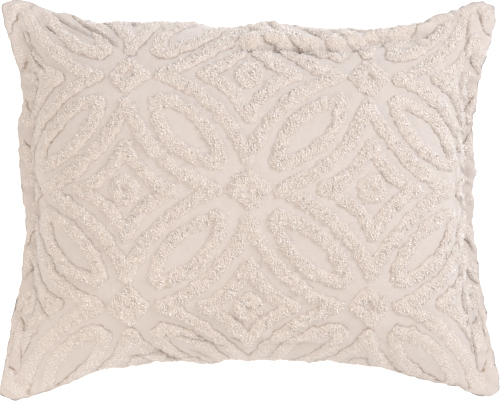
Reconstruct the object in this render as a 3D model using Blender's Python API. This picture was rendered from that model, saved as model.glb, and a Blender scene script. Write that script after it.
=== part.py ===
"""Pillow sham of tufted chenille, filled and lying on its back with the tufted face up.

Two rectangular panels are sewn together round their edge and stuffed, so the cover is one plump
solid with drawn-in sides, a flat rim along the short sides and four slack corners. The face panel
carries thick rows of chenille pile in a traditional pattern of interlocking rings: knots where the
rings cross, a leaf in each petal between them, and curved diamonds with a smaller diamond and a
dot inside. Metres, +Z up, +X along the long side, +Y towards the top edge.

Points of a panel are worked out in the flat panel first, as (p, q) from its middle, and then laid
on the filled shape.
"""

import itertools
import math

import bpy
import numpy as np
from mathutils.geometry import delaunay_2d_cdt

# The two panels, measured flat from seam to seam.
HALF_WIDTH = 0.332
HALF_HEIGHT = 0.254
CORNER_RADIUS = 0.016

# The filled shape. Crowns are heights above and below the seam; an arch ends steeper the nearer
# its last slope is to a right angle. The filling stops short of the side seams, and the rest of
# the cover there is a flat rim.
BODY_HALF_WIDTH = 0.2875
BODY_HALF_HEIGHT = 0.2135
BODY_MIDDLE_Y = 0.0095
SEAM_PULL = 3
SEAM_HEIGHT = 0.066
FACE_CROWN = 0.098
BACK_CROWN = 0.092
LAST_SLOPE = math.radians(78)
FILLING_REACH_X = 0.945
FILLING_REACH_Y = 1.0
FULLNESS_X = 2.6
FULLNESS_Y = 2.2
CORNER_SLACKNESS = 0.75
CORNER_SHARPNESS = 5
CORNER_DROOP = 0.016
SEAM_WAVE = 0.003
SEAM_WAVE_TURNS = (4.1, 5.3)
SEAM_WAVE_STARTS = (0.7, -0.4)
FLOOR_BLEND = 0.008
RIM_THICKNESS = 0.0024
RIM_EDGE = 0.008

# The seam as it lies: place along a side, from -1 at its left or lower corner to 1 at the other,
# and how far out the seam runs there.
TOP_SEAM = (
    (-1.00, 0.2575),
    (-0.90, 0.2530),
    (-0.80, 0.2420),
    (-0.68, 0.2315),
    (-0.50, 0.2290),
    (-0.30, 0.2255),
    (-0.08, 0.2200),
    (0.05, 0.2245),
    (0.25, 0.2200),
    (0.50, 0.2185),
    (0.68, 0.2235),
    (0.80, 0.2350),
    (0.90, 0.2480),
    (1.00, 0.2560),
)
BOTTOM_SEAM = (
    (-1.00, -0.2600),
    (-0.88, -0.2490),
    (-0.76, -0.2330),
    (-0.60, -0.2160),
    (-0.40, -0.2060),
    (-0.15, -0.2060),
    (0.10, -0.2040),
    (0.25, -0.2045),
    (0.45, -0.2105),
    (0.62, -0.2200),
    (0.80, -0.2350),
    (0.90, -0.2455),
    (1.00, -0.2530),
)
LEFT_SEAM = (
    (-1.00, -0.3215),
    (-0.88, -0.3160),
    (-0.72, -0.3060),
    (-0.55, -0.2960),
    (-0.35, -0.2890),
    (-0.10, -0.2875),
    (0.10, -0.2930),
    (0.35, -0.2945),
    (0.60, -0.2940),
    (0.78, -0.3050),
    (0.90, -0.3140),
    (1.00, -0.3190),
)
RIGHT_SEAM = (
    (-1.00, 0.3218),
    (-0.90, 0.3160),
    (-0.75, 0.3075),
    (-0.50, 0.2965),
    (-0.30, 0.2890),
    (-0.05, 0.2860),
    (0.20, 0.2855),
    (0.45, 0.2855),
    (0.60, 0.2900),
    (0.78, 0.3020),
    (0.90, 0.3110),
    (1.00, 0.3150),
)

# The pattern. The pitch is the distance from a knot to the middle of the curved diamond beside
# it, and the other sizes are shares of the pitch: a reach runs to a tip, a waist to the middle of
# a curved side.
PITCH_X = 0.1560
PITCH_Y = 0.1500
PATTERN_SHIFT = (-0.002, 0.003)
PATTERN_CELLS = 2
DIAMOND_REACH = 0.745
DIAMOND_WAIST = 0.410
SMALL_DIAMOND_REACH = 0.385
SMALL_DIAMOND_WAIST = 0.215
LEAF_REACH = 0.375
LEAF_WAIST = 0.140
KNOT_REACH = 0.115
DOT_RADIUS = 0.062

# The rows of pile, and how far the pattern keeps from the seams.
ROW_HALF_WIDTH = 0.0090
PILE_HEIGHT = 0.0060
PILE_MARGIN_X = 0.016
PILE_MARGIN_Y = 0.004

# Creases in the filled face, in the flat panel: the ends, how deep the trough is, how wide, and
# how far the cloth swells on its outer side.
CREASES = (
    # from p, from q, to p, to q, depth, width, swell
    (-0.030, 0.196, 0.250, 0.202, 0.010, 0.010, 0.006),
    (-0.262, 0.222, -0.190, 0.165, 0.005, 0.008, 0.003),
    (-0.215, 0.232, -0.140, 0.180, 0.004, 0.007, 0.002),
    (-0.296, 0.205, -0.240, 0.135, 0.005, 0.007, 0.003),
    (-0.150, -0.205, 0.010, -0.232, 0.005, 0.009, 0.003),
    (-0.100, -0.180, 0.040, -0.208, 0.004, 0.008, 0.002),
    (0.205, -0.195, 0.285, -0.232, 0.004, 0.008, 0.003),
)
CREASE_TAPER = 0.030
# the swelling beside a crease, in widths of its trough
SWELL_OFFSET = 2.0
SWELL_WIDTH = 1.3

# How finely the panels are cut into triangles. A row of pile is cut along its crest and its feet,
# and a foot stands as far out as the gap to the next row leaves room for.
ROW_STEP = 0.0108
SEAM_STEP = 0.0130
OPEN_STEP = 0.0138
BACK_STEP = 0.0260
CLOSEST = 0.0046
OPEN_SHARE = 0.62
FOOT_REACHES = (0.0096, 0.0080, 0.0064)
FOOT_SHARE = 0.93
CORNER_STEPS = 3
CURVE_STEPS = 24
ARCH_STEPS = 400
CUT_MERGE = 1e-6
NUDGE = 0.0005

CLOTH_COLOUR = (0.80, 0.70, 0.62, 1.0)
CLOTH_ROUGHNESS = 0.95


def read_table(place, rows):
    """Reads a table of (place, value) rows as a smooth curve through its rows."""
    places, values = np.array(rows, float).T
    slopes = np.gradient(values, places)
    place = np.clip(place, places[0], places[-1])
    row = np.clip(np.searchsorted(places, place) - 1, 0, len(places) - 2)
    gap = places[row + 1] - places[row]
    s = (place - places[row]) / gap
    from_values = (1 + 2 * s) * (1 - s) ** 2 * values[row] + s**2 * (3 - 2 * s) * values[row + 1]
    from_slopes = s * (1 - s) ** 2 * slopes[row] + s**2 * (s - 1) * slopes[row + 1]
    return from_values + gap * from_slopes


def arch(share, reach, rise, fullness):
    """Lays a strip of cloth over the filling.

    share is the place on the strip, from 0 in the middle to 1 at the seam. Returns how far out it
    comes and how high, as shares of the half width and of the crown. Past reach the strip lies flat.
    """
    turn = np.linspace(0, LAST_SLOPE, ARCH_STEPS)
    out = (np.sin(turn) / math.sin(LAST_SLOPE)) ** (2 / fullness)
    up = (np.cos(turn) - math.cos(LAST_SLOPE)) / (1 - math.cos(LAST_SLOPE))
    up = np.clip(up, 0, 1) ** (2 / fullness)
    length = np.concatenate([[0], np.cumsum(np.hypot(np.diff(out), rise * np.diff(up)))])
    length = length / length[-1]
    size = np.abs(share)
    on_filling = size < reach
    lies_out = np.where(on_filling, reach * np.interp(size / reach, length, out), size)
    lies_up = np.where(on_filling, np.interp(size / reach, length, up), 0.0)
    return np.sign(share) * lies_out, lies_up


def seam_distance(p, q):
    """How far a point of the flat panel lies inside the seam, whose corners are rounded."""
    past_x = np.abs(p) - (HALF_WIDTH - CORNER_RADIUS)
    past_y = np.abs(q) - (HALF_HEIGHT - CORNER_RADIUS)
    outside = np.hypot(np.maximum(past_x, 0), np.maximum(past_y, 0))
    return CORNER_RADIUS - outside - np.minimum(np.maximum(past_x, past_y), 0)


def lay(p, q):
    """Lays points of the flat panel on the floor plan.

    Returns x and y, the height of the seam there, and the share of the crown.
    """
    u = p / HALF_WIDTH
    v = q / HALF_HEIGHT
    out_u, up_u = arch(u, FILLING_REACH_X, FACE_CROWN / (BODY_HALF_WIDTH * FILLING_REACH_X), FULLNESS_X)
    out_v, up_v = arch(v, FILLING_REACH_Y, FACE_CROWN / (BODY_HALF_HEIGHT * FILLING_REACH_Y), FULLNESS_Y)
    plan_u = u + (out_u - u) * up_v
    plan_v = v + (out_v - v) * up_u
    side = np.where(u > 0, read_table(plan_v, RIGHT_SEAM), -read_table(plan_v, LEFT_SEAM))
    end = np.where(v > 0, read_table(plan_u, TOP_SEAM), -read_table(plan_u, BOTTOM_SEAM))
    end_reach = end - np.sign(v) * BODY_MIDDLE_Y
    x = plan_u * (BODY_HALF_WIDTH + np.abs(plan_u) ** (SEAM_PULL - 1) * (side - BODY_HALF_WIDTH))
    y = plan_v * (BODY_HALF_HEIGHT + np.abs(plan_v) ** (SEAM_PULL - 1) * (end_reach - BODY_HALF_HEIGHT))
    y = y + BODY_MIDDLE_Y
    slack = np.abs(u * v) ** CORNER_SHARPNESS
    wave_u = np.sin(SEAM_WAVE_TURNS[0] * u + SEAM_WAVE_STARTS[0])
    wave_v = np.cos(SEAM_WAVE_TURNS[1] * v + SEAM_WAVE_STARTS[1])
    seam = SEAM_HEIGHT - CORNER_DROOP * slack + SEAM_WAVE * wave_u * wave_v
    return x, y, seam, up_u * up_v * (1 - CORNER_SLACKNESS * slack)


def rim(p, q):
    """Half the thickness of the cover where nothing fills it, thinning to nothing at the seam."""
    return RIM_THICKNESS / 2 * np.clip(seam_distance(p, q) / RIM_EDGE, 0, 1)


def face_surface(p, q):
    """The bare face, without its creases and its pile."""
    x, y, seam, crown = lay(p, q)
    return np.stack([x, y, seam + FACE_CROWN * crown + rim(p, q)], axis=-1)


def back_surface(p, q):
    """The plain back, which the floor presses flat."""
    x, y, seam, crown = lay(p, q)
    z = seam - BACK_CROWN * crown - rim(p, q)
    blended = (z + FLOOR_BLEND) ** 2 / (4 * FLOOR_BLEND)
    z = np.where(z > FLOOR_BLEND, z, np.where(z < -FLOOR_BLEND, 0.0, blended))
    return np.stack([x, y, z], axis=-1)


def face_normal(p, q):
    """Which way the bare face looks."""
    p = np.clip(p, NUDGE - HALF_WIDTH, HALF_WIDTH - NUDGE)
    q = np.clip(q, NUDGE - HALF_HEIGHT, HALF_HEIGHT - NUDGE)
    along_p = face_surface(p + NUDGE, q) - face_surface(p - NUDGE, q)
    along_q = face_surface(p, q + NUDGE) - face_surface(p, q - NUDGE)
    normal = np.cross(along_p, along_q)
    return normal / np.linalg.norm(normal, axis=-1, keepdims=True)


def crease_height(p, q):
    """How far the creases push the face out, or in where it is less than nothing."""
    height = np.zeros_like(p)
    for from_p, from_q, to_p, to_q, depth, width, swell in CREASES:
        length = math.hypot(to_p - from_p, to_q - from_q)
        along_p = (to_p - from_p) / length
        along_q = (to_q - from_q) / length
        along = (p - from_p) * along_p + (q - from_q) * along_q
        across = (q - from_q) * along_p - (p - from_p) * along_q
        if from_q < 0:
            across = -across
        from_ends = np.minimum(along, length - along) + CREASE_TAPER / 2
        strength = np.clip(from_ends / CREASE_TAPER, 0, 1)
        trough = np.exp(-((across / width) ** 2))
        roll = np.exp(-(((across / width - SWELL_OFFSET) / SWELL_WIDTH) ** 2))
        height += strength * (swell * roll - depth * trough)
    return height


def bow(start, middle, end):
    """Points of the round arc through three points."""
    a, b, c = (complex(*point) for point in (start, middle, end))
    w = (c - a) / (b - a)
    centre = (b - a) * (w - abs(w) ** 2) / (2j * w.imag) + a
    radius = abs(a - centre)
    first = np.angle(a - centre)
    half_turn = np.angle((b - centre) / (a - centre))
    whole_turn = half_turn + np.angle((c - centre) / (b - centre))
    arc = centre + radius * np.exp(1j * (first + whole_turn * np.linspace(0, 1, CURVE_STEPS + 1)))
    return np.stack([arc.real, arc.imag], axis=-1)


def curved_diamond(reach, waist):
    """The four rows of a diamond whose sides curve in, each from tip to tip."""
    hip = waist / math.sqrt(2)
    rows = []
    for sx, sy in ((1, 1), (-1, 1), (-1, -1), (1, -1)):
        rows.append(bow((sx * reach, 0), (sx * hip, sy * hip), (0, sy * reach)))
    return rows


def leaf(direction):
    """The two rows of a leaf that lies along a diagonal, with its middle at the origin."""
    tip = LEAF_REACH / math.sqrt(2)
    side = LEAF_WAIST / math.sqrt(2)
    ends = (direction * -tip, -tip), (direction * tip, tip)
    return [bow(ends[0], (direction * turn * side, -turn * side), ends[1]) for turn in (1, -1)]


def knot():
    """The small diamond-shaped loop of pile where four petals meet."""
    tips = [(KNOT_REACH, 0), (0, KNOT_REACH), (-KNOT_REACH, 0), (0, -KNOT_REACH), (KNOT_REACH, 0)]
    return [np.array(tips, float)]


def dot():
    """The small round loop of pile in the middle of a curved diamond."""
    turn = np.linspace(0, 2 * math.pi, CURVE_STEPS + 1)
    return [DOT_RADIUS * np.stack([np.cos(turn), np.sin(turn)], axis=-1)]


def pattern_rows():
    """Every row of pile in the flat panel, as runs of points."""
    rows = []

    def place(i, j, motif):
        rows.extend((row + (i, j)) * (PITCH_X, PITCH_Y) + PATTERN_SHIFT for row in motif)

    cells = range(-PATTERN_CELLS - 1, PATTERN_CELLS + 2)
    for i, j in itertools.product(cells, cells):
        if (i + j) % 2:
            place(i, j, curved_diamond(DIAMOND_REACH, DIAMOND_WAIST))
            place(i, j, curved_diamond(SMALL_DIAMOND_REACH, SMALL_DIAMOND_WAIST))
            place(i, j, dot())
        else:
            place(i, j, knot())
            place(i + 0.5, j + 0.5, leaf(1))
            place(i - 0.5, j + 0.5, leaf(-1))
    return [row for row in rows if in_pile_field(row).any()]


def evenly(points, step):
    """Spaces the points of a run evenly, about a step apart."""
    lengths = np.concatenate([[0], np.cumsum(np.hypot(*np.diff(points, axis=0).T))])
    count = max(2, round(lengths[-1] / step) + 1)
    places = np.linspace(0, lengths[-1], count)
    return np.stack([np.interp(places, lengths, points[:, k]) for k in (0, 1)], axis=-1)


def in_pile_field(points):
    """Whether points lie far enough inside the seams to carry pile."""
    p, q = points.T
    inside_x = np.abs(p) < HALF_WIDTH - PILE_MARGIN_X
    return inside_x & (seam_distance(p, q) > PILE_MARGIN_Y)


def distance_to_rows(points, rows):
    """The distance from each point to the nearest row of pile."""
    nearest = np.full(len(points), np.inf)
    for row in rows:
        start = row[:-1]
        edge = row[1:] - start
        offset = points[:, None, :] - start
        share = np.clip((offset * edge).sum(-1) / (edge**2).sum(-1), 0, 1)
        gap = offset - share[..., None] * edge
        nearest = np.minimum(nearest, np.sqrt((gap**2).sum(-1)).min(1))
    return nearest


def pile_height(points, rows):
    """How far the pile stands proud of the cloth."""
    share = np.clip(distance_to_rows(points, rows) / ROW_HALF_WIDTH, 0, 1)
    return np.where(in_pile_field(points), PILE_HEIGHT * np.sqrt(1 - share**2), 0.0)


class Cutting:
    """The points and edges by which a flat panel is cut into triangles."""

    def __init__(self):
        self.points = np.empty((0, 2))
        self.edges = []

    def add(self, point, closest):
        """Adds a point and returns its number, or that of one that lies too close already."""
        if len(self.points):
            gaps = np.hypot(*(self.points - point).T)
            if gaps.min() < closest:
                return int(gaps.argmin())
        self.points = np.vstack([self.points, point])
        return len(self.points) - 1

    def add_run(self, points, closest):
        """Adds a run of points with the edges between them."""
        numbers = [self.add(point, closest) for point in points]
        self.edges += [pair for pair in itertools.pairwise(numbers) if pair[0] != pair[1]]

    def fill(self, step):
        """Spreads points in staggered lines over what is still open."""
        for line, q in enumerate(np.arange(-HALF_HEIGHT, HALF_HEIGHT, step * math.sqrt(3) / 2)):
            for p in np.arange(-HALF_WIDTH, HALF_WIDTH, step) + line % 2 * step / 2:
                if seam_distance(p, q) > RIM_EDGE:
                    self.add((p, q), OPEN_SHARE * step)

    def triangles(self):
        """Cuts the panel. Returns the points, the triangles and the number each point was given."""
        given = [tuple(point) for point in self.points]
        made = delaunay_2d_cdt(given, self.edges, [], 0, CUT_MERGE)
        points = np.array([tuple(point) for point in made[0]])
        numbers = [min(sources, default=-1) for sources in made[3]]
        return points, [tuple(face) for face in made[2]], numbers


def seam_line(inset):
    """Points along the seam in the flat panel, or along a line that runs inset inside it."""
    line = []
    corners = ((1, 1), (-1, 1), (-1, -1), (1, -1))

    def on_corner(number, share):
        angle = (number + share) * math.pi / 2
        side_x, side_y = corners[number % 4]
        x = side_x * (HALF_WIDTH - CORNER_RADIUS) + (CORNER_RADIUS - inset) * math.cos(angle)
        y = side_y * (HALF_HEIGHT - CORNER_RADIUS) + (CORNER_RADIUS - inset) * math.sin(angle)
        return x, y

    for number in range(4):
        line += [on_corner(number, step / CORNER_STEPS) for step in range(CORNER_STEPS + 1)]
        side = np.array([line[-1], on_corner(number + 1, 0)])
        line += [tuple(point) for point in evenly(side, SEAM_STEP)[1:-1]]
    return np.array(line)


def start_cutting():
    """A panel with the seam that both share, a line just inside it and the sides of the filling."""
    cutting = Cutting()
    for inset in (0, RIM_EDGE):
        line = seam_line(inset)
        cutting.add_run(np.vstack([line, line[:1]]), NUDGE)
    for side in (-1, 1):
        p = side * FILLING_REACH_X * HALF_WIDTH
        q = HALF_HEIGHT - RIM_EDGE - CLOSEST
        cutting.add_run(evenly(np.array([(p, -q), (p, q)]), SEAM_STEP), CLOSEST)
    return cutting


def cut_face(rows):
    """Cuts the face along the crests and the feet of its rows of pile, and along its creases."""
    cutting = start_cutting()
    inner = RIM_EDGE + CLOSEST / 2
    runs = [evenly(row, ROW_STEP) for row in rows]
    for run in runs:
        kept = seam_distance(*run.T) > inner
        for number in range(len(run) - 1):
            if kept[number] and kept[number + 1]:
                cutting.add_run(run[number : number + 2], CLOSEST)
    for from_p, from_q, to_p, to_q, *_ in CREASES:
        run = evenly(np.array([(from_p, from_q), (to_p, to_q)]), ROW_STEP)
        for point in run[seam_distance(*run.T) > inner]:
            cutting.add(point, CLOSEST)
    for run in runs:
        along = np.gradient(run, axis=0)
        across = np.stack([-along[:, 1], along[:, 0]], axis=-1)
        across /= np.linalg.norm(across, axis=-1, keepdims=True)
        for reach, side in itertools.product(FOOT_REACHES, (1, -1)):
            feet = run + side * reach * across
            clear = distance_to_rows(feet, rows) > FOOT_SHARE * reach
            for point in feet[clear & (seam_distance(*feet.T) > inner)]:
                cutting.add(point, CLOSEST)
    cutting.fill(OPEN_STEP)
    return cutting.triangles()


def cut_back():
    """Cuts the plain back more coarsely."""
    cutting = start_cutting()
    cutting.fill(BACK_STEP)
    return cutting.triangles()


def make_cover():
    """Joins the face and the back at the seam into one closed solid."""
    rows = pattern_rows()
    face_points, face_triangles, face_numbers = cut_face(rows)
    back_points, back_triangles, back_numbers = cut_back()
    p, q = face_points.T
    raised = pile_height(face_points, rows) + crease_height(p, q)
    raised[seam_distance(p, q) < NUDGE] = 0
    vertices = list(face_surface(p, q) + raised[:, None] * face_normal(p, q))
    seam_numbers = range(len(seam_line(0)))
    face_corners = {number: corner for corner, number in enumerate(face_numbers) if number in seam_numbers}
    back_corners = []
    for place, number in zip(back_surface(*back_points.T), back_numbers):
        if number in seam_numbers:
            back_corners.append(face_corners[number])
        else:
            back_corners.append(len(vertices))
            vertices.append(place)
    back_triangles = [tuple(back_corners[k] for k in reversed(triangle)) for triangle in back_triangles]
    mesh = bpy.data.meshes.new("pillow_sham")
    mesh.from_pydata(vertices, [], face_triangles + back_triangles)
    mesh.shade_smooth()
    return mesh


def chenille():
    """Cream cotton cloth and pile."""
    material = bpy.data.materials.new("chenille_cotton")
    material.use_nodes = True
    shader = material.node_tree.nodes["Principled BSDF"]
    shader.inputs["Base Color"].default_value = CLOTH_COLOUR
    shader.inputs["Roughness"].default_value = CLOTH_ROUGHNESS
    shader.inputs["Metallic"].default_value = 0
    return material


def main():
    for old in list(bpy.data.objects):
        bpy.data.objects.remove(old)
    cover = bpy.data.objects.new("pillow_sham", make_cover())
    cover.data.materials.append(chenille())
    bpy.context.scene.collection.objects.link(cover)


main()
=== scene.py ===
"""Looks of the filled chenille pillow sham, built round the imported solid.

The cover is one closed cloth mesh: the same filled shape as the solid, cut finely enough for
puckers, creases and a bed under each row of pile, and settled by a short cloth simulation. On the
bed stand some forty thousand short curls of cotton, each a bent tapering tube. All places on a
panel are worked out in the flat panel, as (p, q) from its middle, and carried to the filled shape.
"""

import itertools
import math

import bpy
import numpy as np
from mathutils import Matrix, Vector


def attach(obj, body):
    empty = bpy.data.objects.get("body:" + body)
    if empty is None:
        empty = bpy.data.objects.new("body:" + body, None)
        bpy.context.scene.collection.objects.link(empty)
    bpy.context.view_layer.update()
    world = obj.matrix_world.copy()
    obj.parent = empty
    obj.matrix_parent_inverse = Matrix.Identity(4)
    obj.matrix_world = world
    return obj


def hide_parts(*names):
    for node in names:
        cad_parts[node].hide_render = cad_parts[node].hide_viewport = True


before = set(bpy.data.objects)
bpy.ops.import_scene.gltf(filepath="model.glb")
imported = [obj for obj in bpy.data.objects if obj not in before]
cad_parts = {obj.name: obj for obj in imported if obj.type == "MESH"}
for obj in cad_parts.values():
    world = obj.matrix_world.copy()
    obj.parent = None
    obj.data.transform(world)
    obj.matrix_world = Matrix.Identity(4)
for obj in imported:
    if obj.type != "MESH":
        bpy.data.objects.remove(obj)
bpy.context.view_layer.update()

NODE = "pillow_sham"

# The flat panels and the filled shape, as in the solid. Only the right seam differs: below its
# middle it is drawn in up to 3.5 mm more, as in the photo.
HALF_WIDTH = 0.332
HALF_HEIGHT = 0.254
CORNER_RADIUS = 0.016
BODY_HALF_WIDTH = 0.2875
BODY_HALF_HEIGHT = 0.2135
BODY_MIDDLE_Y = 0.0095
SEAM_PULL = 3
SEAM_HEIGHT = 0.066
FACE_CROWN = 0.098
BACK_CROWN = 0.092
LAST_SLOPE = math.radians(78)
FILLING_REACH_X = 0.945
FILLING_REACH_Y = 1.0
FULLNESS_X = 2.6
FULLNESS_Y = 2.2
CORNER_SLACKNESS = 0.75
CORNER_SHARPNESS = 5
CORNER_DROOP = 0.016
SEAM_WAVE = 0.003
SEAM_WAVE_TURNS = (4.1, 5.3)
SEAM_WAVE_STARTS = (0.7, -0.4)
FLOOR_BLEND = 0.008
RIM_THICKNESS = 0.0024
RIM_EDGE = 0.008
# place along a side from -1 to 1, and how far out the seam runs there
TOP_SEAM = (
    (-1.00, 0.2575),
    (-0.90, 0.2530),
    (-0.80, 0.2420),
    (-0.68, 0.2315),
    (-0.50, 0.2290),
    (-0.30, 0.2255),
    (-0.08, 0.2200),
    (0.05, 0.2245),
    (0.25, 0.2200),
    (0.50, 0.2185),
    (0.68, 0.2235),
    (0.80, 0.2350),
    (0.90, 0.2480),
    (1.00, 0.2560),
)
BOTTOM_SEAM = (
    (-1.00, -0.2600),
    (-0.88, -0.2490),
    (-0.76, -0.2330),
    (-0.60, -0.2160),
    (-0.40, -0.2060),
    (-0.15, -0.2060),
    (0.10, -0.2040),
    (0.25, -0.2045),
    (0.45, -0.2105),
    (0.62, -0.2200),
    (0.80, -0.2350),
    (0.90, -0.2455),
    (1.00, -0.2530),
)
LEFT_SEAM = (
    (-1.00, -0.3215),
    (-0.88, -0.3160),
    (-0.72, -0.3060),
    (-0.55, -0.2960),
    (-0.35, -0.2890),
    (-0.10, -0.2875),
    (0.10, -0.2930),
    (0.35, -0.2945),
    (0.60, -0.2940),
    (0.78, -0.3050),
    (0.90, -0.3140),
    (1.00, -0.3190),
)
RIGHT_SEAM = (
    (-1.00, 0.3218),
    (-0.90, 0.3150),
    (-0.75, 0.3050),
    (-0.50, 0.2930),
    (-0.30, 0.2865),
    (-0.05, 0.2845),
    (0.20, 0.2850),
    (0.45, 0.2855),
    (0.60, 0.2900),
    (0.78, 0.3020),
    (0.90, 0.3110),
    (1.00, 0.3150),
)

# The pattern of interlocking rings, in shares of its pitch.
PITCH_X = 0.1560
PITCH_Y = 0.1500
PATTERN_SHIFT = (-0.002, 0.003)
PATTERN_CELLS = 2
DIAMOND_REACH = 0.745
DIAMOND_WAIST = 0.410
SMALL_DIAMOND_REACH = 0.385
SMALL_DIAMOND_WAIST = 0.215
LEAF_REACH = 0.375
LEAF_WAIST = 0.140
LEAF_TIP = 0.020
KNOT_REACH = 0.115
DOT_RADIUS = 0.070

# The rows of pile. A row wanders a little and its width comes and goes: how far and how long.
ROW_HALF_WIDTH = 0.0088
ROW_ROUNDNESS = 2.4
ROW_RAGGEDNESS = ((0.0014, 0.011), (0.0016, 0.0058), (0.0013, 0.0034))
WANDER = ((0.0016, 0.050), (0.0013, 0.012))
PILE_HEIGHT = 0.0054
BED_SHARE = 0.72

# Where pile stands: not at the seam or in the corners, and in patches on the rims.
PILE_MARGIN = 0.0035
PLAIN_CORNER = 0.020
PATCHY_FROM = 0.296
PATCH_SIZE = 0.017
PATCHINESS = 0.9

# The groove at the foot of a row, the share of it that is there all round, and how fast it opens
# on the slopes.
FOOT_DIP = 0.0020
FOOT_DIP_WIDTH = 0.0015
FOOT_DIP_SHARE = 0.10
FOOT_OPENING = 2.2

# Where the pile is lower: towards the seams, along the bottom edge and on the left rim (from
# where, over how far), right beside the seam, and in the cracks and dips of a row.
FLAT_PILE_SHARE = 0.62
FLAT_BOTTOM = 0.50
FLAT_BOTTOM_FROM = (0.175, 0.035)
FLAT_LEFT = 0.30
FLAT_LEFT_FROM = (0.245, 0.040)
LEAST_PILE = 0.12
PILE_AT_SEAM = 0.4
PILE_FULL_FROM = 0.018
CRACK_SIZE = 0.0068
CRACK_WIDTH = 0.11
CRACK_DEPTH = 0.70
LUMP_SIZE = 0.0095
LUMP_HEIGHT = 0.23

# On the roll along the top edge the rows are pushed together: where it is, how far its ends
# fade, and how much wider a row is there.
ROLL_ENDS = (-0.050, 0.265)
ROLL_FROM = 0.199
ROLL_FADE = (0.035, 0.010)
ROLL_WIDENING = 0.38

# Folds and crevices of the filled face, as points in the flat panel, with how deep and how wide
# each one is and how high the cloth rolls up on the left hand of the way that the points run.
FOLDS = (
    # the fold along the top edge
    (
        (
            (-0.030, 0.199),
            (0.030, 0.195),
            (0.114, 0.196),
            (0.151, 0.208),
            (0.204, 0.221),
            (0.258, 0.231),
        ),
        0.0090,
        0.0070,
        0.0060,
    ),
    # soft folds near the right ends of the top and bottom edges
    (((0.236, 0.236), (0.289, 0.246)), 0.0042, 0.0060, 0.0020),
    (((-0.001, -0.204), (0.068, -0.209), (0.135, -0.209)), 0.0030, 0.0060, 0.0020),
    (((-0.092, -0.247), (-0.138, -0.219), (-0.161, -0.187)), 0.0036, 0.0060, 0.0018),
)
CREVICES = (
    # where the filling ends on the right
    (
        (
            (0.308, -0.240),
            (0.305, -0.202),
            (0.297, -0.159),
            (0.289, -0.121),
            (0.285, -0.040),
            (0.284, 0.046),
            (0.291, 0.110),
            (0.295, 0.160),
            (0.294, 0.209),
            (0.297, 0.239),
        ),
        0.0042,
        0.0018,
        0.0008,
    ),
    (((0.320, -0.151), (0.326, -0.189), (0.328, -0.220)), 0.0026, 0.0018, 0.0006),
    # where it ends on the left
    (
        ((-0.302, 0.161), (-0.301, 0.104), (-0.298, 0.047), (-0.306, -0.011), (-0.311, -0.060)),
        0.0036,
        0.0017,
        0.0006,
    ),
    (
        ((-0.313, 0.224), (-0.310, 0.210), (-0.304, 0.199), (-0.292, 0.178), (-0.273, 0.164)),
        0.0046,
        0.0017,
        0.0010,
    ),
    (((-0.325, -0.088), (-0.314, -0.112), (-0.285, -0.144)), 0.0030, 0.0018, 0.0008),
    (((-0.303, -0.136), (-0.273, -0.157), (-0.260, -0.168)), 0.0030, 0.0020, 0.0008),
    (((-0.320, -0.150), (-0.327, -0.184), (-0.325, -0.215)), 0.0028, 0.0018, 0.0006),
    (((-0.317, -0.195), (-0.307, -0.227)), 0.0030, 0.0018, 0.0006),
    # out of the top left corner
    (((-0.210, 0.210), (-0.238, 0.228), (-0.275, 0.248)), 0.0050, 0.0019, 0.0016),
    (((-0.252, 0.207), (-0.283, 0.229)), 0.0040, 0.0018, 0.0012),
    (((-0.174, 0.192), (-0.195, 0.211), (-0.237, 0.246)), 0.0048, 0.0019, 0.0014),
    # under the roll along the top edge
    (((-0.022, 0.197), (0.008, 0.193), (0.046, 0.194), (0.086, 0.197)), 0.0028, 0.0018, 0.0010),
    # nearly along the bottom edge
    (((-0.103, -0.188), (-0.068, -0.198), (-0.029, -0.211)), 0.0044, 0.0016, 0.0014),
    (
        ((-0.168, -0.227), (-0.132, -0.227), (-0.093, -0.236), (-0.067, -0.232)),
        0.0050,
        0.0016,
        0.0014,
    ),
    (((-0.087, -0.214), (-0.053, -0.237)), 0.0040, 0.0016, 0.0012),
    (((-0.030, -0.191), (-0.004, -0.206)), 0.0040, 0.0016, 0.0012),
)
CREASE_STEPS = 8
CREASE_TAPER = 0.024
CREASE_END_SHARE = 0.15
SWELL_OFFSET = 2.0
SWELL_WIDTH = 1.3

# Small unevenness of the cloth: depth and length of each kind.
PUCKER = (0.0016, 0.0125)
PUCKER_REACH = 0.026
PUCKER_START = 0.004
PUCKER_STRETCH = 0.4
SEAM_UNEVENNESS = ((0.0024, 0.024), (0.0015, 0.0062))
SEAM_UNEVEN_REACH = 0.014
RIPPLE = (0.0006, 0.016)
BACK_RIPPLE = (0.0015, 0.060)
LOOSE_FROM = 0.02

# All unevenness is read from small grids of random hills, each with a seed of its own.
NOISE_CELLS = 64
NOISE_SHIFT = (17.3, 31.7)
ROW_SEED = 5
WANDER_SEEDS = (11, 21)
PUCKER_SEED = 31
RIPPLE_SEEDS = (41, 43)
BACK_SEED = 51
PATCH_SEED = 61
SEAM_SEED = 71
CRACK_SEED = 81
LUMP_SEED = 91
TUFT_SEEDS = (101, 102, 103)
CURL_PLACE_SEED = 3
CURL_SEED = 4

# The cloth simulation: it starts from the filled shape and wants the lengths of the flat panels.
CLOTH_FRAMES = 20
CLOTH_QUALITY = 6
CLOTH_MASS = 0.3
CLOTH_STIFFNESS = 15.0
CLOTH_SHEAR = 5.0
CLOTH_BENDING = 0.5
CLOTH_PRESSURE = 1.6
SETTLE_SIZE = 0.040
SETTLE_CAP = 0.005
SIDE_POWER = 4
SIDE_LEAST = 0.01
RIM_TOGETHER = 0.050
FLOOR_CLEAR = 0.02

# How finely things are cut.
COARSE_STEP = 0.0066
FACE_STEP = 0.0021
BACK_EVERY = 2
CURL_SPACING = 0.0023
CURL_PIECES = 5
CURVE_STEPS = 24
ARCH_STEPS = 400

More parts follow.
